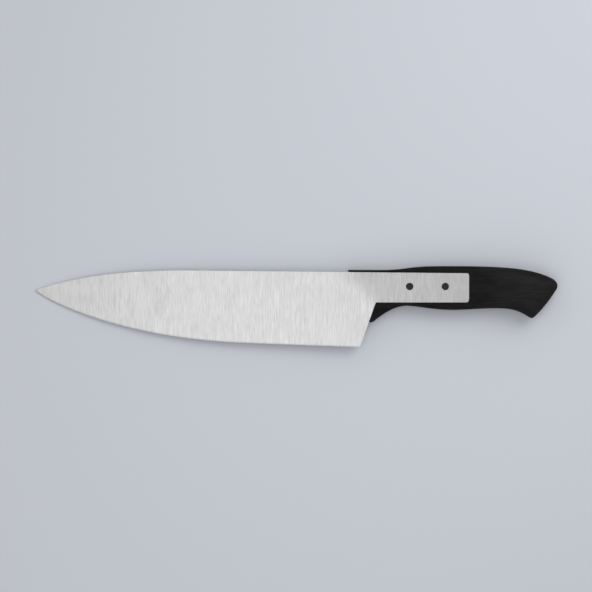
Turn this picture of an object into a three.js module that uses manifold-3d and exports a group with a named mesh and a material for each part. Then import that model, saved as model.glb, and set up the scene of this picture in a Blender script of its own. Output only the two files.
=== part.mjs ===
// A stamped chef's knife: one steel blank (blade and short tang), a moulded handle that carries the
// tang in an open pocket on its near side, and two black pins through the tang into the handle.
//
// Knife coordinates, in millimetres: +X runs toward the butt, +Y toward the spine and +Z out of the
// near face of the blade. X = 0 is the corner where the heel meets the tang, Y = 0 the spine above it,
// Z = 0 the middle plane of the blade. The last lines lay the finished knife on its far side.

import * as THREE from 'three';
import { mergeVertices } from 'three/addons/utils/BufferGeometryUtils.js';
import Module from 'manifold-3d';

const wasm = await Module();
wasm.setup();

// ---------------------------------------------------------------- driving dimensions

const FIT_GAP = 0.12;            // clearance round the tang and the pins

const TANG_THICKNESS = 2.5;
const TIP_THICKNESS = 0.6;
const SHOULDER_THICKNESS = 0.4;  // where the flat grind meets the sharpened edge
const EDGE_BEVEL = 0.7;          // height of the sharpened edge
const GRIND_RUNOUT = 9;          // length over which the flat grind runs out into the tang
const DISTAL_TAPER = 1.6;        // exponent of the thinning from heel to tip

const TIP = new THREE.Vector2(-215.2, -11.7);
const HEEL = new THREE.Vector2(-9.9, -47.5);
const HEEL_CORNER = new THREE.Vector2(0, -19.45);
const GRIND_START = new THREE.Vector2(-20.5, 0);
const SPINE_FRONT = new THREE.Vector2(-100, 0.75);
const TANG_END_X = 58.9;
const TANG_END_TOP = -0.75;
const TANG_CORNER_TOP = 1.8;
const TANG_CORNER_BOTTOM = 2.4;

const PIN_RADIUS = 2.15;
const PIN_DEPTH = 6.0;           // depth of the pin below the middle plane of the blade
const PIN_SINK = 0.1;            // how far the pin's head lies under the face of the tang
const PINS = [
  { name: 'front_tang_pin', x: 21.3, y: -9.25 },
  { name: 'rear_tang_pin', x: 43.8, y: -9.25 },
];

const HANDLE_FRONT_X = -17.5;
const BUTT = new THREE.Vector2(114.8, -9.0);
const GUARD_TIP = new THREE.Vector2(-4.5, -31.8);
const HOOK = new THREE.Vector2(98.8, -29.25);
const STRIP_TOP = 1.3;           // the handle's blunt front, a thin strip over the spine
const STRIP_BOTTOM = 0.1;
const PARTING_Z = -2.0;          // plane of the handle's widest outline
const RIM_Z = 1.5;               // near rim of the handle, just proud of the tang
const RIM_RADIUS = 1.0;
const SWELL_Z = 6.8;             // top of the palm swell behind the tang
const SWELL_RADIUS = 11;
const SWELL_START = 59.5;
const SWELL_FULL = 84;
const FAR_RADIUS = 6.0;          // rounding between the far flat and the handle's outline
const REST_SLOPE = 0.031;        // slope of the plane through the tip and the far flat

const STEEL = new THREE.MeshStandardMaterial({ color: 0xd2d2d3, roughness: 0.35, metalness: 1 });
const POLYMER = new THREE.MeshStandardMaterial({ color: 0x222222, roughness: 0.55, metalness: 0 });
const PIN_BLACK = new THREE.MeshStandardMaterial({ color: 0x2c2c2d, roughness: 0.5, metalness: 0 });

// ---------------------------------------------------------------- outlines

// Spine from the tip to the point where it becomes the straight back of the blade and tang.
const spineSweep = new THREE.CubicBezierCurve(
  TIP, new THREE.Vector2(-175, 3.1), new THREE.Vector2(-120.4, 0.9), SPINE_FRONT);

// Cutting edge: a nearly straight rear stretch and the long curve of the belly up to the tip.
const bellyCurve = new THREE.CurvePath();
bellyCurve.add(new THREE.CubicBezierCurve(
  TIP, new THREE.Vector2(-213.2, -15), new THREE.Vector2(-169.1, -40.2), new THREE.Vector2(-90, -44.5)));
bellyCurve.add(new THREE.CubicBezierCurve(
  new THREE.Vector2(-90, -44.5), new THREE.Vector2(-83.1, -44.9), new THREE.Vector2(-22.6, -47.2), HEEL));

// Upper outline of the handle, from its front over the spine to the butt.
const handleTop = new THREE.Path();
handleTop.moveTo(HANDLE_FRONT_X, STRIP_TOP);
handleTop.lineTo(3, 1.2);
handleTop.bezierCurveTo(20.5, 1.2, 18.2, 3.65, 42, 3.65);
handleTop.lineTo(46, 3.65);
handleTop.bezierCurveTo(83.7, 3.65, 97.8, 2.1, 110.3, -3.6);
handleTop.bezierCurveTo(113.0, -4.9, BUTT.x, -6.4, BUTT.x, BUTT.y);

// Front edge of the handle: blunt beside the spine, then slanting down behind the blade to the tip
// of the guard.
const handleFront = new THREE.Path();
handleFront.moveTo(HANDLE_FRONT_X, STRIP_TOP);
handleFront.lineTo(HANDLE_FRONT_X, STRIP_BOTTOM);
handleFront.lineTo(GUARD_TIP.x, GUARD_TIP.y);

// Lower outline, from the guard through the finger hollow and along the grip to the hook.
const handleGrip = new THREE.Path();
handleGrip.moveTo(GUARD_TIP.x, GUARD_TIP.y);
handleGrip.bezierCurveTo(-3.4, -32.0, -2.0, -31.9, -0.8, -30.9);
handleGrip.bezierCurveTo(0.6, -29.7, 10.5, -21.45, 19, -21.45);
handleGrip.bezierCurveTo(26.4, -21.45, 35.3, -24.05, 48.5, -24.05);
handleGrip.bezierCurveTo(58, -24.05, 66, -23.05, 76, -23.05);
handleGrip.bezierCurveTo(86, -23.05, 90, -24.3, 96.4, -28.45);
handleGrip.bezierCurveTo(97.3, -29.05, 98.1, -29.3, HOOK.x, HOOK.y);

// Rear edge, from the bottom of the hook up to the butt.
const handleRear = new THREE.Path();
handleRear.moveTo(HOOK.x, HOOK.y);
handleRear.bezierCurveTo(99.5, -29.1, 100, -28.7, 100.6, -28.1);
handleRear.bezierCurveTo(105.6, -23.4, 109.6, -18, 112.9, -13);
handleRear.bezierCurveTo(114.1, -11.3, BUTT.x, -10.3, BUTT.x, BUTT.y);

// ---------------------------------------------------------------- small helpers

const lerp = THREE.MathUtils.lerp;
const clamp01 = (t) => THREE.MathUtils.clamp(t, 0, 1);
const smooth = (t) => THREE.MathUtils.smoothstep(t, 0, 1);
const roundOver = (t) => Math.sqrt(1 - (1 - clamp01(t)) ** 2);

// Height of a left-to-right polyline at x.
function heightAt(points, x) {
  let i = 1;
  while (i < points.length - 1 && points[i].x < x) i += 1;
  const a = points[i - 1];
  const b = points[i];
  const t = b.x === a.x ? 1 : clamp01((x - a.x) / (b.x - a.x));
  return lerp(a.y, b.y, t);
}

// Shortest distance from (x, y) to a polyline.
function distanceTo(points, x, y) {
  const spot = new THREE.Vector3(x, y, 0);
  const foot = new THREE.Vector3();
  const line = new THREE.Line3();
  let nearest = Infinity;
  for (let i = 1; i < points.length; i += 1) {
    line.start.set(points[i - 1].x, points[i - 1].y, 0);
    line.end.set(points[i].x, points[i].y, 0);
    line.closestPointToPoint(spot, true, foot);
    nearest = Math.min(nearest, foot.distanceTo(spot));
  }
  return nearest;
}

function evenSteps(first, last, count) {
  return Array.from({ length: count + 1 }, (_, i) => lerp(first, last, i / count));
}

// Values from first to last, closer together at both ends.
function easedSteps(first, last, count) {
  const steps = [];
  for (let i = 0; i <= count; i += 1) {
    steps.push(lerp(first, last, (1 - Math.cos((Math.PI * i) / count)) / 2));
  }
  return steps;
}

function toSolid(geometry) {
  const bare = geometry.clone();
  bare.deleteAttribute('normal');
  bare.deleteAttribute('uv');
  const merged = mergeVertices(bare, 1e-4);
  const triangles = [];
  for (let i = 0; i < merged.index.count; i += 3) {
    const [a, b, c] = [0, 1, 2].map((k) => merged.index.getX(i + k));
    if (a !== b && b !== c && c !== a) triangles.push(a, b, c);
  }
  return new wasm.Manifold(new wasm.Mesh({
    numProp: 3,
    vertProperties: new Float32Array(merged.attributes.position.array),
    triVerts: new Uint32Array(triangles),
  }));
}

function toGeometry(solid) {
  const mesh = solid.getMesh();
  const geometry = new THREE.BufferGeometry();
  geometry.setAttribute('position', new THREE.BufferAttribute(mesh.vertProperties, 3));
  geometry.setIndex(new THREE.BufferAttribute(mesh.triVerts, 1));
  return geometry;
}

// Closed body between two height surfaces over the stations. Each station is
// { x, rows: [y from low to high] }; upper(x, y) and lower(x, y) give the two heights.
function pillow(stations, upper, lower) {
  const positions = [];
  const index = [];
  const rows = stations[0].rows.length;
  const ring = 2 * rows;
  for (const { x, rows: ys } of stations) {
    for (const y of ys) positions.push(x, y, upper(x, y));
    for (const y of [...ys].reverse()) positions.push(x, y, lower(x, y));
  }
  for (let s = 0; s < stations.length - 1; s += 1) {
    for (let k = 0; k < ring; k += 1) {
      const next = (k + 1) % ring;
      const [a, b] = [s * ring + k, s * ring + next];
      const [c, d] = [a + ring, b + ring];
      index.push(a, c, b, b, c, d);
    }
  }
  const lastRing = (stations.length - 1) * ring;
  for (let k = 0; k < rows - 1; k += 1) {
    const mirror = ring - 1 - k;
    index.push(k, k + 1, mirror, k + 1, mirror - 1, mirror);
    index.push(lastRing + k, lastRing + mirror, lastRing + k + 1);
    index.push(lastRing + k + 1, lastRing + mirror, lastRing + mirror - 1);
  }
  const geometry = new THREE.BufferGeometry();
  geometry.setAttribute('position', new THREE.Float32BufferAttribute(positions, 3));
  geometry.setIndex(index);
  return toSolid(geometry);
}

function prism(shape, zLow, zHigh, curveSegments = 12) {
  const geometry = new THREE.ExtrudeGeometry(shape, {
    depth: zHigh - zLow, bevelEnabled: false, curveSegments,
  });
  geometry.translate(0, 0, zLow);
  return toSolid(geometry);
}

function cylinder(radius, zLow, zHigh, x, y) {
  const geometry = new THREE.CylinderGeometry(radius, radius, zHigh - zLow, 32);
  geometry.rotateX(Math.PI / 2);
  geometry.translate(x, y, (zLow + zHigh) / 2);
  return toSolid(geometry);
}

// Bores for both pins, open at the near side and ending at zBottom.
function drillPinHoles(solid, zBottom) {
  const above = SWELL_Z + 5;
  const bores = PINS.map((pin) => cylinder(PIN_RADIUS + FIT_GAP, zBottom, above, pin.x, pin.y));
  return bores.reduce((drilled, bore) => drilled.subtract(bore), solid);
}

// ---------------------------------------------------------------- blade and tang

const spinePoints = [...spineSweep.getPoints(36), new THREE.Vector2(TANG_END_X, TANG_END_TOP)];
const bellyPoints = bellyCurve.getPoints(30);
const spineAt = (x) => heightAt(spinePoints, x);
const bellyAt = (x) => heightAt(bellyPoints, x);

// Signed distance from the grind line, positive on the tang side of it.
function pastGrindLine(x, y) {
  const along = HEEL_CORNER.clone().sub(GRIND_START).normalize();
  return -along.y * (x - GRIND_START.x) + along.x * (y - GRIND_START.y);
}

// Half the thickness of the steel: a flat wedge from spine to edge, thinning toward the tip, that
// runs out into the full thickness of the tang along the slanted grind line.
function halfThickness(x, y) {
  const taper = clamp01(x / TIP.x) ** DISTAL_TAPER;
  const spineHalf = lerp(TANG_THICKNESS, TIP_THICKNESS, taper) / 2;
  const edge = bellyAt(x);
  const height = Math.max(spineAt(x) - edge, EDGE_BEVEL);
  const rise = y - edge;
  const bevelHalf = (SHOULDER_THICKNESS / 2) * clamp01(rise / EDGE_BEVEL);
  const wedgeRise = clamp01((rise - EDGE_BEVEL) / Math.max(height - EDGE_BEVEL, EDGE_BEVEL));
  const wedge = bevelHalf + (spineHalf - SHOULDER_THICKNESS / 2) * wedgeRise;
  return lerp(wedge, TANG_THICKNESS / 2, smooth(1 + pastGrindLine(x, y) / GRIND_RUNOUT));
}

function bladeStations() {
  const spare = 2;
  const edgeRows = 7;
  const xs = bellyPoints.map((p) => p.x).filter((x) => x < -34);
  for (let x = -34; x <= 4; x += 2) xs.push(x);
  xs.push(TANG_END_X + spare);
  return xs.map((x) => {
    const edge = bellyAt(x);
    const top = spineAt(x) + spare;
    const rows = [edge, edge + EDGE_BEVEL];
    for (let r = 1; r <= edgeRows; r += 1) {
      rows.push(lerp(edge + EDGE_BEVEL, spineAt(x) + EDGE_BEVEL, r / edgeRows));
    }
    rows.push(top);
    return { x, rows };
  });
}

function tangBlankShape() {
  const shape = new THREE.Shape();
  const below = -52;
  const heelRun = (HEEL.x - HEEL_CORNER.x) / (HEEL.y - HEEL_CORNER.y);
  shape.moveTo(TIP.x, TIP.y);
  shape.bezierCurveTo(spineSweep.v1.x, spineSweep.v1.y, spineSweep.v2.x, spineSweep.v2.y,
    SPINE_FRONT.x, SPINE_FRONT.y);
  shape.lineTo(TANG_END_X - TANG_CORNER_TOP, TANG_END_TOP);
  shape.quadraticCurveTo(TANG_END_X, TANG_END_TOP, TANG_END_X, TANG_END_TOP - TANG_CORNER_TOP);
  shape.lineTo(TANG_END_X, HEEL_CORNER.y + TANG_CORNER_BOTTOM);
  shape.quadraticCurveTo(TANG_END_X, HEEL_CORNER.y, TANG_END_X - TANG_CORNER_BOTTOM, HEEL_CORNER.y);
  shape.lineTo(HEEL_CORNER.x, HEEL_CORNER.y);
  shape.lineTo(HEEL_CORNER.x + (below - HEEL_CORNER.y) * heelRun, below);
  shape.lineTo(TIP.x, below);
  return shape;
}

function makeBlade() {
  const ground = pillow(bladeStations(), halfThickness, (x, y) => -halfThickness(x, y));
  const blank = prism(tangBlankShape(), -TANG_THICKNESS, TANG_THICKNESS, 32);
  return drillPinHoles(blank.intersect(ground), -TANG_THICKNESS);
}

// ---------------------------------------------------------------- handle

const topPoints = handleTop.getPoints(24);
const sidePoints = [handleFront, handleGrip, handleRear].map((side) => side.getPoints(16));
const bottomPoints = sidePoints.flat();

// Distance from the handle's outline. The distances to its four sides are blended, so the rounded
// edges meet in soft hips and not in creases.
function fromOutline(x, y) {
  const blend = 4;
  const distances = [topPoints, ...sidePoints].map((points) => distanceTo(points, x, y));
  if (Math.min(...distances) < 1e-6) return 0;
  return distances.reduce((sum, d) => sum + d ** -blend, 0) ** (-1 / blend);
}

// Height of the plane that touches the tip and the far flat of the handle.
const restPlane = (x) => -TIP_THICKNESS / 2 - REST_SLOPE * (x - TIP.x);

// Near side: a low rim round the tang that swells into the palm grip behind it.
function nearSurface(x, y) {
  const swell = smooth((x - SWELL_START) / (SWELL_FULL - SWELL_START));
  const top = lerp(RIM_Z, SWELL_Z, swell);
  const radius = lerp(RIM_RADIUS, SWELL_RADIUS, swell);
  return PARTING_Z + (top - PARTING_Z) * roundOver(fromOutline(x, y) / radius);
}

// Far side: rounded edges and one long flat.
function farSurface(x, y) {
  return PARTING_Z - (PARTING_Z - restPlane(x)) * roundOver(fromOutline(x, y) / FAR_RADIUS);
}

function handleStations() {
  const rowCount = 16;
  const rearCurve = 102;         // from here the stations close up toward the round butt
  const xs = [
    ...easedSteps(HANDLE_FRONT_X, GUARD_TIP.x, 9),
    ...evenSteps(GUARD_TIP.x, 0, 7).slice(1),
    ...evenSteps(0, 93, 34).slice(1),
    ...evenSteps(93, rearCurve, 9).slice(1),
    ...easedSteps(2 * rearCurve - BUTT.x, BUTT.x, 24).slice(13),
  ];
  return xs.map((x) => ({
    x,
    rows: easedSteps(heightAt(bottomPoints, x), heightAt(topPoints, x), rowCount),
  }));
}

// Everything on the near side of the pocket floor that the blade and tang take up.
function pocketShape() {
  const shape = new THREE.Shape();
  const beyond = 60;
  const end = TANG_END_X + FIT_GAP;
  const bottom = HEEL_CORNER.y - FIT_GAP;
  const heelRun = (HEEL.x - HEEL_CORNER.x) / (HEEL.y - HEEL_CORNER.y);
  const cornerX = HEEL_CORNER.x + FIT_GAP;
  shape.moveTo(-beyond, spineAt(-beyond) + FIT_GAP);
  shape.lineTo(end - TANG_CORNER_TOP, TANG_END_TOP + FIT_GAP);
  shape.quadraticCurveTo(end, TANG_END_TOP + FIT_GAP, end, TANG_END_TOP + FIT_GAP - TANG_CORNER_TOP);
  shape.lineTo(end, bottom + TANG_CORNER_BOTTOM);
  shape.quadraticCurveTo(end, bottom, end - TANG_CORNER_BOTTOM, bottom);
  shape.lineTo(cornerX, bottom);
  shape.lineTo(cornerX + (-beyond - bottom) * heelRun, -beyond);
  shape.lineTo(-beyond, -beyond);
  return shape;
}

function makeHandle() {
  const floor = -TANG_THICKNESS / 2 - FIT_GAP;
  const above = SWELL_Z + 5;
  const body = pillow(handleStations(), nearSurface, farSurface);
  const pocket = prism(pocketShape(), floor, above);
  return drillPinHoles(body.subtract(pocket), -PIN_DEPTH - FIT_GAP);
}

// ---------------------------------------------------------------- pins

// Straight pin with a small chamfer at both ends, turned about its own axis.
function pinGeometry() {
  const chamfer = 0.25;
  const head = TANG_THICKNESS / 2 - PIN_SINK;
  const profile = [
    new THREE.Vector2(0, -PIN_DEPTH),
    new THREE.Vector2(PIN_RADIUS - chamfer, -PIN_DEPTH),
    new THREE.Vector2(PIN_RADIUS, -PIN_DEPTH + chamfer),
    new THREE.Vector2(PIN_RADIUS, head - chamfer),
    new THREE.Vector2(PIN_RADIUS - chamfer, head),
    new THREE.Vector2(0, head),
  ];
  const geometry = new THREE.LatheGeometry(profile, 32);
  geometry.rotateX(Math.PI / 2);
  return geometry;
}

// ---------------------------------------------------------------- assembly

function part(name, geometry, material) {
  const mesh = new THREE.Mesh(geometry, material);
  mesh.name = name;
  return mesh;
}

const knife = new THREE.Group();
knife.add(part('blade', toGeometry(makeBlade()), STEEL));
knife.add(part('handle', toGeometry(makeHandle()), POLYMER));
for (const pin of PINS) {
  const mesh = part(pin.name, pinGeometry(), PIN_BLACK);
  mesh.position.set(pin.x, pin.y, 0);
  knife.add(mesh);
}

// The knife lies on its far side, touching the table with the tip and the handle's far flat. The
// origin is on the table, under the middle of the knife's box.
knife.rotation.y = -Math.atan(REST_SLOPE);
const object = new THREE.Group();
object.add(knife);
object.updateMatrixWorld(true);
const box = new THREE.Box3().setFromObject(object, true);
const centre = box.getCenter(new THREE.Vector3());
knife.position.set(-centre.x, -centre.y, -box.min.z);

export default object;
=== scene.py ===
"""A stamped chef's knife lying on its far side, seen from straight above its near side.

The fine meshes are built in the knife's own axes: +X toward the butt, +Y toward the spine, +Z out of
the near face of the blade. x = y = 0 is the corner where the heel meets the tang, z = 0 the blade's
middle plane. Lengths are in metres.
"""

import math

import bmesh
import bpy
import numpy as np
from mathutils import Matrix, Vector


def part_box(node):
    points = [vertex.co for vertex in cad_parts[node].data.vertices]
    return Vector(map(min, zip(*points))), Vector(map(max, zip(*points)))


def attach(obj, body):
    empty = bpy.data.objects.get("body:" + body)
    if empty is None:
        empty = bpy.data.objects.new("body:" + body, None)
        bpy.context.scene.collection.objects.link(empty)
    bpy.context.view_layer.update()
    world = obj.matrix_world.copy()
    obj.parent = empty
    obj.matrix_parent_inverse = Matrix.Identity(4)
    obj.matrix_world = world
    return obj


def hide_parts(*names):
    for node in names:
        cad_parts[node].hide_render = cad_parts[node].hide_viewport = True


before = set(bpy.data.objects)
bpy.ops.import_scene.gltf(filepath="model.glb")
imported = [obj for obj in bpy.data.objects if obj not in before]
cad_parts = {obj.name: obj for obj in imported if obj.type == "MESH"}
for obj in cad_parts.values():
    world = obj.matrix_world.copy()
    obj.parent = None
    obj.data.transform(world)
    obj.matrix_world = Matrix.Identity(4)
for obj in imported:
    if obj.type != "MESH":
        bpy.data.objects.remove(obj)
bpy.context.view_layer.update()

MM = 0.001

# Design sizes of the knife, the same as those of its CAD solids.
TIP_HALF = 0.3 * MM          # half the thickness of the steel at the tip
SHOULDER_HALF = 0.2 * MM     # half the thickness where the grind meets the sharpened edge
EDGE_BEVEL = 0.7 * MM        # height of the sharpened edge
GRIND_RUNOUT = 9 * MM        # length over which the flat grind runs out into the tang
GRIND_START_X = -20.5 * MM   # where the grind line leaves the spine
DISTAL_TAPER = 1.6           # exponent of the thinning from heel to tip
FIT_GAP = 0.12 * MM          # clearance round the tang and the pins
RIM_Z = 1.5 * MM             # near rim of the handle
RIM_RADIUS = 1.0 * MM
SWELL_Z = 6.8 * MM           # top of the palm swell behind the tang
SWELL_RADIUS = 11 * MM
SWELL_START = 0.6 * MM       # behind the end of the tang
SWELL_LENGTH = 24.5 * MM
FAR_RADIUS = 6 * MM          # rounding round the far flat
HIP_BLEND = 4                # exponent that blends the handle's rounded edges
PIN_CHAMFER = 0.25 * MM

# Finishing sizes, which the CAD solids leave out.
EDGE_BREAK = 0.16 * MM       # chamfer along the spine, the heel and the tang
HOLE_BREAK = 0.14 * MM       # chamfer round the tang holes
LIP = 0.3 * MM               # rounding along the mouth of the pocket
HEAD_ROUND = 0.2 * MM        # rounding of a pin's head
FLAT_EDGE = (-8 * MM, 9 * MM)    # where, across the grind line, the painted shade on the tang's flat comes in
# how much painted shade darkens the base colour of the tang's flat
TANG_PAINTED_SHADE = 0.66

# How the meshes are laid out.
SHARP = math.radians(28)     # an edge that turns more than this is shaded as a sharp one
CORNER = math.radians(40)    # an outline that turns more than this has a true corner
SAME = 0.002 * MM            # CAD points closer than this share a place
BLADE_ROWS = 24              # rows of points on a face of the blade, between its chamfers
RUNG_ROWS = 36               # points in each row over the handle
LIP_ROWS = 4                 # how many of them lie on the lip of the pocket
CURVE_PIECES = 6             # pieces of the handle's outline between two of its CAD points
TURNED_SIDES = 64            # sides of a pin and of its hole in the tang
BORE_SIDES = 48              # sides of a pin's bore in the handle
END_BAND = 3 * MM            # depth of the handle's near band behind the end of the tang


# ------------------------------------------------------------------ small helpers

def smooth(t):
    t = np.clip(t, 0, 1)
    return t * t * (3 - 2 * t)


def round_over(t):
    return np.sqrt(1 - (1 - np.clip(t, 0, 1)) ** 2)


def run_lengths(points):
    """Distance along a polyline from its start to each point."""
    steps = np.hypot(*np.diff(points, axis=0).T)
    return np.concatenate([[0], np.cumsum(steps)])


def distance_to(polyline, spots):
    """Shortest distance from each spot to a polyline."""
    nearest = np.full(len(spots), np.inf)
    for a, b in zip(polyline[:-1], polyline[1:]):
        step = b - a
        length = step @ step
        if length == 0:
            continue
        t = np.clip((spots - a) @ step / length, 0, 1)
        nearest = np.minimum(nearest, np.hypot(*(spots - a - t[:, None] * step).T))
    return nearest


def nearest_point(points, spot):
    """Number of the point closest to a spot."""
    return int(np.argmin(np.hypot(*(points - spot).T)))


def smooth_curve(points, pieces):
    """The polyline with each segment cut into pieces along a cubic, keeping corners sharp."""
    lengths = run_lengths(points)
    steps = np.diff(points, axis=0) / np.diff(lengths)[:, None]
    turns = [math.acos(float(np.clip(a @ b, -1, 1))) for a, b in zip(steps[:-1], steps[1:])]
    sharp = [True] + [turn > CORNER for turn in turns] + [True]
    slopes = np.gradient(points, lengths, axis=0)
    result = [points[0]]
    for i, step in enumerate(steps):
        span = lengths[i + 1] - lengths[i]
        start = step if sharp[i] else slopes[i]
        end = step if sharp[i + 1] else slopes[i + 1]
        for k in range(1, pieces + 1):
            t = k / pieces
            result.append((2 * t**3 - 3 * t**2 + 1) * points[i] + (t**3 - 2 * t**2 + t) * span * start
                          + (3 * t**2 - 2 * t**3) * points[i + 1] + (t**3 - t**2) * span * end)
    return np.array(result)


def offset_left(points, gap):
    """The polyline moved to the left of its direction of travel."""
    sharpest = 0.5               # a corner's point moves at most gap / sharpest
    steps = np.diff(points, axis=0)
    steps = steps / np.hypot(*steps.T)[:, None]
    before = np.vstack([steps[:1], steps])
    after = np.vstack([steps, steps[-1:]])
    along = before + after
    along = along / np.hypot(*along.T)[:, None]
    stretch = 1 / np.maximum(np.sum(along * after, axis=1), sharpest)
    return points + gap * stretch[:, None] * np.column_stack([-along[:, 1], along[:, 0]])


# ------------------------------------------------------------------ what the CAD frame says

def middle(node):
    low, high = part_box(node)
    return (low + high) / 2


def cad_points(node, axes):
    """A node's vertices in the given axes."""
    inverse = axes.inverted()
    return np.array([inverse @ v.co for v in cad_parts[node].data.vertices])


def knife_axes():
    """Matrix from the knife's own axes to the row's axes."""
    front, rear = middle("front_tang_pin"), middle("rear_tang_pin")
    along = (rear - front).normalized()
    up = Vector((0, 1, 0))
    turn = Matrix((along, up, along.cross(up))).transposed().to_4x4()
    steel = cad_points("blade", turn)
    near_face = steel[steel[:, 2] > steel[:, 2].max() - SAME]
    tang_bottom = near_face[near_face[:, 0] > (turn.inverted() @ rear).x, 1].min()
    heel_corner = near_face[np.abs(near_face[:, 1] - tang_bottom) < 5 * SAME, 0].min()
    mid_plane = (steel[:, 2].max() + steel[:, 2].min()) / 2
    return turn @ Matrix.Translation((heel_corner, tang_bottom, mid_plane))


AXES = knife_axes()


def section_rails(node):
    """Upper and lower outline of a node, as two left-to-right polylines."""
    points = cad_points(node, AXES)
    edges = np.array([e.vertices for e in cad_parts[node].data.edges])
    a, b = points[edges[:, 0]], points[edges[:, 1]]
    low, high = np.minimum(a[:, 0], b[:, 0]), np.maximum(a[:, 0], b[:, 0])
    upper, lower = [], []
    for x in np.unique(np.round(points[:, 0], 5)):
        cut_edges = (low <= x + SAME) & (high >= x - SAME)
        run = b[cut_edges, 0] - a[cut_edges, 0]
        t = np.clip((x - a[cut_edges, 0]) / np.where(np.abs(run) < SAME, np.inf, run), 0, 1)
        y = a[cut_edges, 1] + t * (b[cut_edges, 1] - a[cut_edges, 1])
        upper.append((x, y.max()))
        lower.append((x, y.min()))
    return np.array(upper), np.array(lower)


def parting_rails(node):
    """Upper and lower outline of a node whose widest outline lies in one plane, and that plane's z."""
    points = cad_points(node, AXES)
    parting = points[np.argmax(points[:, 0]), 2]
    flat = points[np.abs(points[:, 2] - parting) < SAME]
    upper, lower = [], []
    for x in np.unique(np.round(flat[:, 0], 6)):
        y = flat[np.abs(flat[:, 0] - x) < SAME / 2, 1]
        upper.append((x, y.max()))
        lower.append((x, y.min()))
    return np.array(upper), np.array(lower), parting


# ------------------------------------------------------------------ mesh helpers

def new_mesh(name, verts, faces, fill=False):
    """A closed mesh from vertices and faces, with vertices at the same place joined.

    With fill, the flat opening between the rims that the faces leave is filled too.
    """
    same_vertex = 0.0005 * MM
    bm = bmesh.new()
    made = [bm.verts.new(v) for v in verts]
    for face in faces:
        corners = [made[i] for i in dict.fromkeys(face)]
        if len(corners) > 2:
            bm.faces.new(corners)
    bmesh.ops.remove_doubles(bm, verts=bm.verts, dist=same_vertex)
    bmesh.ops.dissolve_degenerate(bm, edges=bm.edges, dist=same_vertex)
    if fill:
        rims = [edge for edge in bm.edges if edge.is_boundary]
        bmesh.ops.triangle_fill(bm, use_beauty=True, edges=rims)
    bmesh.ops.recalc_face_normals(bm, faces=bm.faces)
    if bm.calc_volume(signed=True) < 0:
        bmesh.ops.reverse_faces(bm, faces=bm.faces)
    mesh = bpy.data.meshes.new(name)
    bm.to_mesh(mesh)
    bm.free()
    return mesh


def new_object(name, data):
    thing = bpy.data.objects.new(name, data)
    bpy.context.scene.collection.objects.link(thing)
    return thing


def new_piece(name, mesh, node):
    """A smooth-shaded piece, turned out of knife axes, that stands for a CAD node."""
    mesh.transform(AXES)
    bm = bmesh.new()
    bm.from_mesh(mesh)
    for face in bm.faces:
        face.smooth = True
    for edge in bm.edges:
        edge.smooth = edge.is_manifold and edge.calc_face_angle(0) < SHARP
    bm.to_mesh(mesh)
    bm.free()
    piece = new_object(name, mesh)
    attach(piece, "root")
    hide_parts(node)
    return piece


def cut(mesh, cutters):
    """The mesh less the cutters, by exact booleans."""
    body = new_object("body", mesh)
    tools = [new_object("cutter", cutter) for cutter in cutters]
    for tool in tools:
        modifier = body.modifiers.new("cut", "BOOLEAN")
        modifier.operation = "DIFFERENCE"
        modifier.solver = "EXACT"
        modifier.object = tool
    bpy.context.view_layer.update()
    result = bpy.data.meshes.new_from_object(body.evaluated_get(bpy.context.evaluated_depsgraph_get()))
    for thing in [body, *tools]:
        bpy.data.objects.remove(thing)
    return result


def skin(rings, closed_rings=True):
    """Quads between successive rings of vertex numbers."""
    faces = []
    for one, two in zip(rings[:-1], rings[1:]):
        count = len(one)
        for k in range(count if closed_rings else count - 1):
            n = (k + 1) % count
            faces.append((one[k], one[n], two[n], two[k]))
    return faces


def lathe(name, profile, centre):
    """A body turned about a line along Z through centre, from (radius, z) points."""
    verts, rings = [], []
    for radius, z in profile:
        start = len(verts)
        for k in range(TURNED_SIDES):
            angle = 2 * math.pi * k / TURNED_SIDES
            verts.append((centre[0] + radius * math.cos(angle), centre[1] + radius * math.sin(angle), z))
        rings.append(list(range(start, len(verts))))
    return new_mesh(name, verts, skin(rings) + [tuple(rings[0]), tuple(rings[-1])])


# ------------------------------------------------------------------ pins

def pin_facts(node):
    """A tang pin's centre, radius and ends, in knife axes."""
    points = cad_points(node, AXES)
    low, high = points.min(axis=0), points.max(axis=0)
    return {"node": node, "centre": (low + high)[:2] / 2, "radius": (high - low)[0] / 2,
            "bottom": low[2], "head": high[2]}


PINS = [pin_facts(node) for node in ("front_tang_pin", "rear_tang_pin")]


def make_pin(pin):
    """A straight pin with a rounded head and a chamfered inner end."""
    radius, bottom, head = pin["radius"], pin["bottom"], pin["head"]
    profile = [(radius - PIN_CHAMFER, bottom), (radius, bottom + PIN_CHAMFER)]
    for turn in np.linspace(0, math.pi / 2, 7):
        inward = HEAD_ROUND * (1 - math.cos(turn))
        down = HEAD_ROUND * (1 - math.sin(turn))
        profile.append((radius - inward, head - down))
    profile.append((radius - 3 * HEAD_ROUND, head))
    mesh = lathe(pin["node"], profile, pin["centre"])
    return new_piece(pin["node"] + "_head", mesh, pin["node"])


pins = [make_pin(pin) for pin in PINS]


# ------------------------------------------------------------------ blade

blade_top, blade_bottom = section_rails("blade")
steel_points = cad_points("blade", AXES)
tang_half = steel_points[:, 2].max()
tip = blade_top[0]
tang_end_x = blade_top[-1, 0]
edge_points = steel_points[np.abs(steel_points[:, 2]) < SAME]
heel = edge_points[np.argmax(edge_points[:, 0])]
edge_rail = blade_bottom[blade_bottom[:, 0] <= heel[0] + SAME]


def spine_at(x):
    return np.interp(x, *blade_top.T)


def bottom_at(x):
    return np.interp(x, *blade_bottom.T)


def edge_at(x):
    """Height of the cutting edge, carried on level behind the heel."""
    return np.interp(x, *edge_rail.T)


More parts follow.
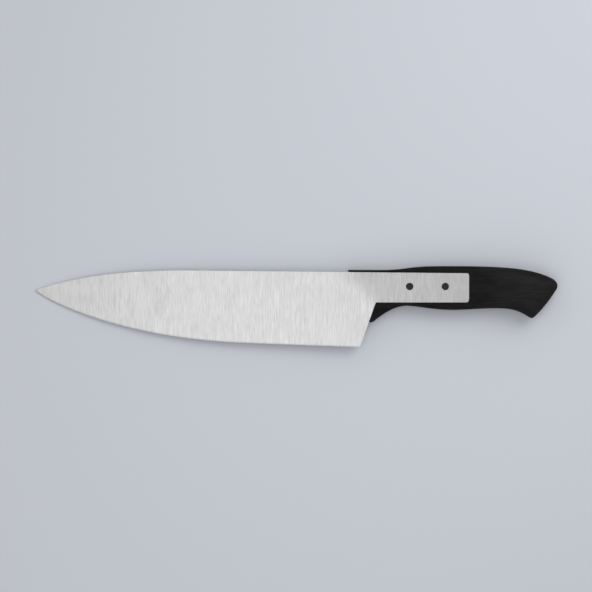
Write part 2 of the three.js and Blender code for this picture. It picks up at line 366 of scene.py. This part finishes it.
def half_thickness(x, y):
    """Half the thickness of the ground steel, without the small chamfers."""
    taper = np.clip(x / tip[0], 0, 1) ** DISTAL_TAPER
    spine_half = tang_half + (TIP_HALF - tang_half) * taper
    rise = y - edge_at(x)
    height = np.maximum(spine_at(x) - edge_at(x), EDGE_BEVEL)
    bevel = SHOULDER_HALF * np.clip(rise / EDGE_BEVEL, 0, 1)
    wedge = np.clip((rise - EDGE_BEVEL) / np.maximum(height - EDGE_BEVEL, EDGE_BEVEL), 0, 1)
    ground = bevel + (spine_half - SHOULDER_HALF) * wedge
    grind_line = np.array([-GRIND_START_X, -spine_at(GRIND_START_X)])
    grind_line = grind_line / np.hypot(*grind_line)
    past = grind_line[0] * y - grind_line[1] * x
    return ground + (tang_half - ground) * smooth(1 + past / GRIND_RUNOUT)


def blade_stations():
    """Places along the steel, closer together at the tip, round the heel and at the end of the tang."""
    from_tip = np.array([0, 0.05, 0.15, 0.3, 0.5, 0.8, 1.2, 1.7, 2.3, 3, 4, 5.2, 6.6, 8.2, 10]) * MM
    from_heel = np.array([0, 0.05, 0.3, 0.8, 1.5, 2.4, 3.4, 4.5, 5.7, 7, 8.2, 9.2, 9.7]) * MM
    from_corner = np.concatenate([[0, 0.3, 1, 2], np.arange(4, tang_end_x / MM - 3, 2.5)]) * MM
    to_end = np.array([2.6, 2.3, 2, 1.6, 1.2, 0.8, 0.5, 0.28, 0.16, 0.08, 0.02, 0]) * MM
    # About every 2.4 mm along the blade, then every millimetre where the grind runs out.
    blade_run = np.linspace(tip[0] + 12 * MM, -36 * MM, 72)
    grind_run = np.arange(-35, heel[0] / MM, 1) * MM
    xs = np.concatenate([tip[0] + from_tip, blade_run, grind_run, heel[0] + from_heel, from_corner,
                         tang_end_x - to_end])
    return np.unique(np.round(xs[xs <= tang_end_x], 7))


def blade_rows(x):
    """Heights of the points on either face of the steel at x.

    Where the tip is narrow, the bevel and the chamfer shrink to a share of its height.
    """
    low, high = bottom_at(x), spine_at(x)
    step = 0.05 * MM
    slope = (bottom_at(x + step) - low) / step if x < 0 else 0
    low_step = EDGE_BEVEL if x < heel[0] else EDGE_BREAK * math.hypot(1, slope)
    low_step = min(low_step, (high - low) * 0.3)
    high_step = min(EDGE_BREAK, (high - low) * 0.2)
    inner_low, inner_high = low + low_step, high - high_step
    inner = inner_low + (inner_high - inner_low) * np.linspace(0, 1, BLADE_ROWS + 2)[1:-1]
    return np.concatenate([[low, low + low_step / 2, inner_low], inner,
                           [inner_high, high - high_step / 2, high]])


def hole_cutter(pin):
    """A spool that cuts a pin's hole through the tang, chamfered at both faces."""
    radius = pin["radius"] + FIT_GAP
    beyond = 1 * MM
    flare = radius + HOLE_BREAK + beyond
    profile = [(flare, -tang_half - beyond), (radius, HOLE_BREAK - tang_half),
               (radius, tang_half - HOLE_BREAK), (flare, tang_half + beyond)]
    return lathe("cutter", profile, pin["centre"])


def make_blade():
    """The ground blade and its tang, chamfered all round except along the cutting edge."""
    chamfered = np.vstack([blade_top, blade_bottom[blade_bottom[:, 0] >= heel[0]][::-1]])
    verts, rings = [], []
    for x in blade_stations():
        ys = blade_rows(x)
        spots = np.column_stack([np.full(len(ys), x), ys])
        chamfer = EDGE_BREAK * (1 - np.clip(distance_to(chamfered, spots) / EDGE_BREAK, 0, 1))
        half = half_thickness(x, ys)
        deepest = 0.6 * half
        z = half - np.minimum(chamfer, deepest)
        start = len(verts)
        verts += [(x, y, h) for y, h in zip(ys, z)]
        verts += [(x, y, -h) for y, h in zip(ys[::-1], z[::-1])]
        rings.append(list(range(start, len(verts))))
    faces = skin(rings)
    for ring in (rings[0], rings[-1]):
        faces += [(ring[k], ring[k + 1], ring[-2 - k], ring[-1 - k]) for k in range(len(ring) // 2 - 1)]
    blank = new_mesh("blade_steel", verts, faces)
    drilled = cut(blank, [hole_cutter(pin) for pin in PINS])
    return new_piece("blade_steel", drilled, "blade")


blade = make_blade()


# ------------------------------------------------------------------ handle

outline_top, outline_bottom, parting_z = parting_rails("handle")
smooth_top = smooth_curve(outline_top, CURVE_PIECES)
smooth_bottom = smooth_curve(outline_bottom, CURVE_PIECES)
floor_z = -(tang_half + FIT_GAP)


def top_at(x):
    return np.interp(x, *smooth_top.T)


def low_at(x):
    return np.interp(x, *smooth_bottom.T)


def sharpest_turn(points):
    """The point where a polyline turns most."""
    steps = np.diff(points, axis=0)
    angles = np.unwrap(np.arctan2(steps[:, 1], steps[:, 0]))
    return points[np.argmax(np.abs(np.diff(angles))) + 1]


def outline_sides():
    """The outline's four sides: top, front, grip and rear."""
    guard_tip = sharpest_turn(outline_bottom)
    rear_half = outline_bottom[outline_bottom[:, 0] > tang_end_x]
    hook = rear_half[np.argmin(rear_half[:, 1])]
    x = smooth_bottom[:, 0]
    front = np.vstack([smooth_top[:1], smooth_bottom[x <= guard_tip[0]]])
    grip = smooth_bottom[(x >= guard_tip[0]) & (x <= hook[0])]
    rear = smooth_bottom[x >= hook[0]]
    return [smooth_top, front, grip, rear]


SIDES = outline_sides()


def from_outline(spots):
    """Distance from the handle's outline, blended between its sides so that they meet in soft hips."""
    distances = np.array([distance_to(side, spots) for side in SIDES])
    distances = np.maximum(distances, 1e-9)
    nearest = distances.min(axis=0)
    return nearest * np.sum((distances / nearest) ** -HIP_BLEND, axis=0) ** (-1 / HIP_BLEND)


def rest_plane(spots):
    """Height, in knife axes, of the surface that the knife lies on."""
    row = AXES[2]
    return -(row[0] * spots[:, 0] + row[1] * spots[:, 1] + row[3]) / row[2]


def near_height(spots):
    """The near side: a low rim round the tang that swells into the palm grip behind it."""
    swell = smooth((spots[:, 0] - tang_end_x - SWELL_START) / SWELL_LENGTH)
    top = RIM_Z + (SWELL_Z - RIM_Z) * swell
    radius = RIM_RADIUS + (SWELL_RADIUS - RIM_RADIUS) * swell
    return parting_z + (top - parting_z) * round_over(from_outline(spots) / radius)


def far_height(spots):
    """The far side: rounded edges round one long flat."""
    return parting_z - (parting_z - rest_plane(spots)) * round_over(from_outline(spots) / FAR_RADIUS)


def pocket_rail():
    """Mouth of the pocket, and its corner behind the heel.

    The mouth runs along the spine, round the end of the tang and down behind the heel to the
    handle's lower outline.
    """
    front_x = outline_top[0, 0]
    along_top = blade_top[blade_top[:, 0] > front_x + 0.1 * MM]
    along_bottom = blade_bottom[blade_bottom[:, 0] >= heel[0]][::-1]
    steel = np.vstack([[front_x, spine_at(front_x)], along_top, along_bottom])
    steps = np.hypot(*np.diff(steel, axis=0).T)
    steel = steel[np.concatenate([[True], steps > 5 * SAME])]
    rail = offset_left(steel, FIT_GAP)
    rail[0] = outline_bottom[0]
    round_corner = 0.5 * MM
    behind_heel = rail[(rail[:, 0] < round_corner) & (rail[:, 1] < round_corner)]
    corner, foot = behind_heel[0], behind_heel[-1]
    line = corner + np.linspace(0, 1, 4001)[:, None] * (foot - corner)
    inside = line[:, 1] > low_at(line[:, 0])
    meeting_x = line[np.argmin(inside), 0]
    meeting = np.array([meeting_x, float(low_at(meeting_x))])
    return np.vstack([rail[: nearest_point(rail, corner) + 1], meeting]), corner


MOUTH, heel_nook = pocket_rail()


def handle_stations():
    """Places along the handle: the CAD's own and those half way between them, closer at the front."""
    knots = outline_top[:, 0]
    from_front = np.array([0.03, 0.09, 0.18, 0.32]) * MM
    xs = np.concatenate([knots, (knots[1:] + knots[:-1]) / 2, knots[0] + from_front])
    exact = np.round([MOUTH[-1, 0], tang_end_x + END_BAND], 8)
    for place in exact:
        xs = xs[np.abs(xs - place) > 0.1 * MM]
    return np.unique(np.round(np.concatenate([xs, exact]), 8))


def section_rows(xs):
    """Points across the handle at each station, from the lower outline to the upper one."""
    t = (1 - np.cos(np.linspace(0, math.pi, RUNG_ROWS))) / 2
    low, high = low_at(xs), top_at(xs)
    high[-1] = low[-1]           # the outlines meet at the butt
    ys = low[:, None] + (high - low)[:, None] * t
    return np.dstack([np.repeat(xs[:, None], RUNG_ROWS, axis=1), ys])


def rungs(rows, meeting, split):
    """Matching points on the mouth of the pocket and on the line that runs round it.

    The line follows the upper outline back to station split, crosses the handle there and comes
    forward along the lower outline to station meeting, at the tip of the guard. The third result
    says which of its points lie on the outline.
    """
    top, across, low = rows[: split + 1, -1], rows[split, -2:0:-1], rows[split:meeting - 1:-1, 0]
    outer = np.vstack([top, across, low])
    outer_run, mouth_run = run_lengths(outer), run_lengths(MOUTH)
    end = int(np.argmax(MOUTH[:, 0]))
    low_start = len(top) + len(across)

    def outer_key(x, below):
        first, last = (low_start, len(outer)) if below else (0, len(top))
        return outer_run[first + int(np.argmin(np.abs(outer[first:last, 0] - x)))]

    def mouth_key(x, below):
        path = slice(end, None) if below else slice(0, end)
        order = np.argsort(MOUTH[path, 0])
        return np.interp(x, MOUTH[path, 0][order], mouth_run[path][order])

    corner = 1 * MM              # the cross line's ends face the tang's end corners, this far before them
    fan_x = tang_end_x - 4 * MM  # behind this the rungs fan out to those ends
    guard_x = 8.5 * MM           # in front of this they lean forward to the guard
    nook_x = 3 * MM              # the place on the lower outline that faces the nook
    keys = [(0, 0), (outer_key(fan_x, False), mouth_key(fan_x, False)),
            (outer_run[split], mouth_run[end] - corner),
            (outer_run[low_start], mouth_run[end] + MOUTH[end, 1] - corner),
            (outer_key(fan_x, True), mouth_key(fan_x, True)),
            (outer_key(guard_x, True), mouth_key(guard_x, True)),
            (outer_key(nook_x, True), mouth_run[nearest_point(MOUTH, heel_nook)]),
            (outer_run[-1], mouth_run[-1])]
    runs = np.interp(outer_run, *np.array(keys).T)
    inner = np.column_stack([np.interp(runs, mouth_run, MOUTH[:, k]) for k in (0, 1)])
    on_outline = np.ones(len(outer), dtype=bool)
    on_outline[len(top):low_start] = False
    return inner, outer, on_outline


def rung_steps(length):
    """Distances from the mouth along a rung: close together at the lip and at the far end."""
    full_length = 2.4 * MM       # a shorter rung squeezes its lip
    lip = np.array([0, 0.04, 0.1, 0.18, 0.3, 0.5]) * MM * min(1, length / full_length)
    rest = length - lip[-1]
    count = RUNG_ROWS - len(lip)
    return np.concatenate([lip, lip[-1] + rest * np.sin(np.arange(1, count + 1) / count * math.pi / 2)])


def near_band(inner, outer, on_outline):
    """Rows of points over the near side, from the mouth of the pocket to the line round it.

    The first row closes the strip's blunt front, and the last one shrinks to the tip of the guard.
    """
    full_length = 1 * MM         # a shorter rung has a lower lip
    grid, drops = [], []
    for a, b in zip(inner, outer):
        length = math.hypot(*(b - a))
        steps = rung_steps(length)
        t = steps / length if length > 0 else np.linspace(0, 1, RUNG_ROWS)
        grid.append(a + t[:, None] * (b - a))
        drops.append(LIP * (1 - round_over(steps / LIP)) * min(1, length / full_length))
    grid, drops = np.array(grid), np.array(drops)
    z = near_height(grid.reshape(-1, 2)).reshape(drops.shape) - drops
    lowest_lip = floor_z + 0.02 * MM
    z[1:-1, :LIP_ROWS] = np.maximum(z[1:-1, :LIP_ROWS], lowest_lip)
    z[on_outline, -1] = parting_z
    z[0] = parting_z + (floor_z - parting_z) * np.sqrt(1 - np.linspace(0, 1, RUNG_ROWS) ** 2)
    z[-1, 0] = floor_z
    z[-1, 1:] = parting_z
    return np.dstack([grid, z])


def section_grid(rows, height):
    """The rows lifted to a height surface, with their ends on the parting plane."""
    z = height(rows.reshape(-1, 2)).reshape(rows.shape[:2])
    z[:, [0, -1]] = parting_z
    return np.dstack([rows, z])


class Points:
    """Collects vertices and hands out their numbers."""

    def __init__(self):
        self.all = []

    def add(self, points):
        start = len(self.all)
        self.all += [tuple(p) for p in points]
        return list(range(start, len(self.all)))


def bore_faces(points, pin):
    """The faces of a pin's blind bore, from the pocket's floor down."""
    radius = pin["radius"] + FIT_GAP
    angles = np.arange(BORE_SIDES) / BORE_SIDES * 2 * math.pi
    circle = pin["centre"] + radius * np.column_stack([np.cos(angles), np.sin(angles)])
    top = points.add([(x, y, floor_z) for x, y in circle])
    bottom = points.add([(x, y, pin["bottom"] - FIT_GAP) for x, y in circle])
    return skin([top, bottom]) + [tuple(bottom)]


def make_handle():
    """The moulding: its near band, palm grip, far side and front, the pocket and the bores.

    The pocket's floor is the flat opening that new_mesh fills.
    """
    xs = handle_stations()
    meeting = int(np.argmin(np.abs(xs - MOUTH[-1, 0])))
    split = int(np.argmin(np.abs(xs - tang_end_x - END_BAND)))
    rows = section_rows(xs)
    inner, outer, on_outline = rungs(rows, meeting, split)
    band = near_band(inner, outer, on_outline)
    rows[0] = band[0, :, :2]
    far = section_grid(rows, far_height)
    far[0, :, 2] = parting_z
    palm = section_grid(rows[split:], near_height)
    points = Points()
    band_rows, far_rows, palm_rows = [[points.add(row) for row in grid] for grid in (band, far, palm)]
    mouth = [row[0] for row in band_rows]
    floor_rim = points.add([(x, y, floor_z) for x, y in inner])
    front_edge = far[: meeting + 1, 0]
    front_low = points.add(front_edge)
    front_high = points.add([(x, y, floor_z) for x, y, _ in front_edge])
    faces = []
    for sheet in (band_rows, far_rows, palm_rows, [mouth, floor_rim], [front_low, front_high],
                  [far_rows[0], band_rows[0]]):
        faces += skin(sheet, closed_rings=False)
    for pin in PINS:
        faces += bore_faces(points, pin)
    mesh = new_mesh("handle_moulding", points.all, faces, fill=True)
    return new_piece("handle_moulding", mesh, "handle")


handle = make_handle()


# ------------------------------------------------------------------ materials

def set_range(node, source, target):
    """Makes a Map Range node take the source range to the target range."""
    for socket, number in zip(("From Min", "From Max", "To Min", "To Max"), (*source, *target)):
        node.inputs[socket].default_value = number


class Material:
    """A Principled material built from noise and distances in the row's axes."""

    def __init__(self, name, **sockets):
        self.material = bpy.data.materials.new(name)
        self.material.use_nodes = True
        self.tree = self.material.node_tree
        self.shader = self.tree.nodes["Principled BSDF"]
        self.places = self.tree.nodes.new("ShaderNodeTexCoord").outputs["Object"]
        for socket, value in sockets.items():
            self.give(socket, value)

    def give(self, socket, value):
        """Sets or links one of the shader's sockets."""
        self.connect(self.shader.inputs[socket.replace("_", " ")], value)

    def connect(self, socket, value):
        if isinstance(value, bpy.types.NodeSocket):
            self.tree.links.new(value, socket)
        else:
            socket.default_value = value

    def node(self, kind, settings=None, **inputs):
        made = self.tree.nodes.new(kind)
        for key, value in (settings or {}).items():
            setattr(made, key, value)
        for socket, value in inputs.items():
            self.connect(made.inputs[socket], value)
        return made

    def noise(self, grain, detail, roughness=0.6, seed=0):
        """Noise from 0 to 1 whose features measure grain = (x, y, z) metres; the seed shifts it."""
        places = self.node("ShaderNodeMapping", Vector=self.places, Scale=tuple(1 / g for g in grain),
                           Location=(seed, 1.7 * seed, 0.6 * seed))
        texture = self.node("ShaderNodeTexNoise", Vector=places.outputs[0], Scale=1, Detail=detail,
                            Roughness=roughness)
        return texture.outputs["Fac"]

    def fit(self, value, low, high, source=(0.25, 0.75), shape="SMOOTHSTEP"):
        """The value stretched from the source range to the range low to high."""
        made = self.node("ShaderNodeMapRange", {"interpolation_type": shape}, Value=value)
        set_range(made, source, (low, high))
        return made.outputs["Result"]

    def scaled_sum(self, value, weight, rest):
        """value * weight + rest"""
        made = self.node("ShaderNodeMath", {"operation": "MULTIPLY_ADD"})
        for socket, term in zip(made.inputs, (value, weight, rest)):
            self.connect(socket, term)
        return made.outputs[0]

    def weighted(self, *terms):
        """Sum of (value, weight) pairs."""
        total = 0.0
        for value, weight in terms:
            total = self.scaled_sum(value, weight, total)
        return total

    def beyond(self, place, direction):
        """Distance past a plane through place, along direction, both given in knife axes."""
        offset = self.node("ShaderNodeVectorMath", {"operation": "SUBTRACT"})
        self.connect(offset.inputs[0], self.places)
        self.connect(offset.inputs[1], AXES @ Vector(place))
        along = self.node("ShaderNodeVectorMath", {"operation": "DOT_PRODUCT"})
        self.connect(along.inputs[0], offset.outputs[0])
        self.connect(along.inputs[1], AXES.to_3x3() @ Vector(direction).normalized())
        return along.outputs["Value"]

    def grey(self, value, dark, light):
        """A colour that is dark at 0, light at 1, and goes on past them."""
        mix = self.node("ShaderNodeMix", {"data_type": "RGBA", "clamp_factor": False})
        factor, first, second = mix.inputs[0], mix.inputs[6], mix.inputs[7]
        self.connect(factor, value)
        self.connect(first, (*dark, 1))
        self.connect(second, (*light, 1))
        return mix.outputs[2]

    def bump(self, height, distance, strength=1.0):
        made = self.node("ShaderNodeBump", Height=height, Distance=distance, Strength=strength)
        self.give("Normal", made.outputs["Normal"])

    def put_on(self, *pieces):
        for piece in pieces:
            piece.data.materials.clear()
            piece.data.materials.append(self.material)


def brushed_steel():
    """Satin steel brushed across the blade, with painted shade darkening the unground flat of the tang.
    """
    steel = Material("brushed_steel", Metallic=1.0, Specular_IOR_Level=0.5)
    fine = steel.noise((0.34 * MM, 6 * MM, 3 * MM), detail=1, roughness=0.5, seed=1)
    streaks = steel.noise((0.44 * MM, 20 * MM, 5 * MM), detail=2, roughness=0.55, seed=2)
    broad = steel.noise((3.5 * MM, 40 * MM, 9 * MM), detail=3, seed=3)
    cloud = steel.noise((26 * MM, 30 * MM, 30 * MM), detail=2, seed=4)
    scratches = steel.noise((0.16 * MM, 5 * MM, 2 * MM), detail=1, seed=5)
    marks = steel.weighted((fine, 0.5), (streaks, 0.4), (broad, 0.1))
    tone = steel.fit(steel.weighted((marks, 0.9), (cloud, 0.1)), 0, 1, (0.33, 0.67), "LINEAR")
    off_grind = (-spine_at(GRIND_START_X) / GRIND_START_X, 1, 0)
    # painted shade: the base colour darkens past the grind line onto the tang's flat
    flat = steel.fit(steel.beyond((0, 0, 0), off_grind), 0, 1, FLAT_EDGE)
    bright = steel.scaled_sum(flat, -TANG_PAINTED_SHADE, tone)
    steel.give("Base Color", steel.grey(bright, (0.55, 0.55, 0.552), (0.74, 0.74, 0.742)))
    steel.give("Roughness", steel.fit(marks, 0.41, 0.35, (0.3, 0.7)))
    steel.bump(steel.weighted((scratches, 0.5), (fine, 0.5)), 0.012 * MM)
    return steel


def moulded_black():
    """Hard black handle plastic: satin grain, faint flow lines, and a painted highlight that lightens the
    top of the palm swell.
    """
    black = Material("moulded_black", Specular_IOR_Level=0.08)
    grain = black.noise((0.22 * MM, 0.22 * MM, 0.22 * MM), detail=2, seed=6)
    flow = black.noise((14 * MM, 0.7 * MM, 2.5 * MM), detail=3, seed=7)
    cloud = black.noise((20 * MM, 9 * MM, 9 * MM), detail=3, seed=8)
    marks = black.fit(black.weighted((flow, 0.6), (cloud, 0.4)), 0, 1, (0.35, 0.65))
    # painted highlight: the base colour lightens with height over the palm swell
    painted_swell_highlight = black.fit(black.beyond((0, 0, RIM_Z), (0, 0, 1)), 0, 1, (0, SWELL_Z - RIM_Z))
    tone = black.weighted((marks, 1), (painted_swell_highlight, 0.8))
    black.give("Base Color", black.grey(tone, (0.004, 0.0041, 0.0041), (0.0125, 0.0125, 0.0125)))
    black.give("Roughness", black.fit(black.weighted((grain, 0.4), (flow, 0.6)), 0.52, 0.68))
    black.bump(black.weighted((grain, 0.8), (flow, 0.2)), 0.03 * MM, 0.7)
    return black


def pin_black():
    """The pins' black plastic, a little lighter and smoother than the handle's."""
    black = Material("pin_black", Specular_IOR_Level=0.3)
    grain = black.noise((0.18 * MM, 0.18 * MM, 0.18 * MM), detail=3, seed=9)
    cloud = black.noise((1.4 * MM, 1.4 * MM, 1.4 * MM), detail=3, seed=10)
    tone = black.fit(cloud, 0, 1)
    black.give("Base Color", black.grey(tone, (0.008, 0.008, 0.008), (0.0145, 0.0145, 0.0145)))
    black.give("Roughness", black.fit(grain, 0.42, 0.56))
    black.bump(grain, 0.02 * MM, 0.6)
    return black


brushed_steel().put_on(blade)
moulded_black().put_on(handle)
pin_black().put_on(*pins)


# ------------------------------------------------------------------ stage, camera, light

def add_camera():
    """Straight over the near face, behind a long lens, with the knife lying across the picture."""
    view_width = 373.6 * MM
    aim = Vector((-50.4 * MM, 4.2 * MM, 0))
    data = bpy.data.cameras.new("camera")
    data.lens = 200
    data.sensor_width = 36
    data.clip_start = 0.1
    data.clip_end = 20
    distance = view_width * data.lens / data.sensor_width
    camera = new_object("camera", data)
    camera.matrix_world = AXES @ Matrix.Translation(aim + Vector((0, 0, distance)))
    bpy.context.scene.camera = camera


def add_floor():
    """A large pale floor at the height that the knife rests on."""
    reach = 4
    corners = [(-reach, -reach, 0), (reach, -reach, 0), (reach, reach, 0), (-reach, reach, 0)]
    mesh = bpy.data.meshes.new("floor")
    mesh.from_pydata(corners, [], [(0, 1, 2, 3)])
    floor = new_object("floor", mesh)
    pale = (0.65, 0.675, 0.735, 1)
    Material("pale_floor", Base_Color=pale, Roughness=0.9, Specular_IOR_Level=0.1).put_on(floor)


def add_softbox(name, place, aim, width, depth, radiance):
    """A rectangular soft light of a given radiance, unseen by the camera."""
    data = bpy.data.lights.new(name, "AREA")
    data.shape = "RECTANGLE"
    data.size, data.size_y = width, depth
    data.energy = radiance * math.pi * width * depth
    light = new_object(name, data)
    light.location = place
    light.rotation_euler = (Vector(aim) - Vector(place)).to_track_quat("-Z", "Y").to_euler()
    light.visible_camera = False


def add_surroundings():
    """Pale walls that fade into a dim ceiling; heights are sines of the elevation."""
    fade_heights = (0.45, 0.85)
    walls, ceiling = 0.85, 0.25
    world = bpy.data.worlds.new("world")
    world.use_nodes = True
    nodes, links = world.node_tree.nodes, world.node_tree.links
    heading = nodes.new("ShaderNodeTexCoord")
    height = nodes.new("ShaderNodeSeparateXYZ")
    fade = nodes.new("ShaderNodeMapRange")
    fade.interpolation_type = "SMOOTHSTEP"
    set_range(fade, fade_heights, (walls, ceiling))
    links.new(heading.outputs["Generated"], height.inputs[0])
    links.new(height.outputs["Z"], fade.inputs["Value"])
    links.new(fade.outputs["Result"], nodes["Background"].inputs["Strength"])
    nodes["Background"].inputs["Color"].default_value = (1, 1, 1, 1)
    bpy.context.scene.world = world


add_camera()
add_floor()
add_surroundings()
add_softbox("overhead", place=(-0.065, -0.13, 0.65), aim=(-0.065, -0.13, 0), width=0.44, depth=0.62,
            radiance=1.12)
add_softbox("corner", place=(0.42, 0.42, 0.55), aim=(0.1, 0.1, 0), width=0.5, depth=0.5, radiance=2.5)
bpy.context.scene.view_settings.view_transform = "Standard"
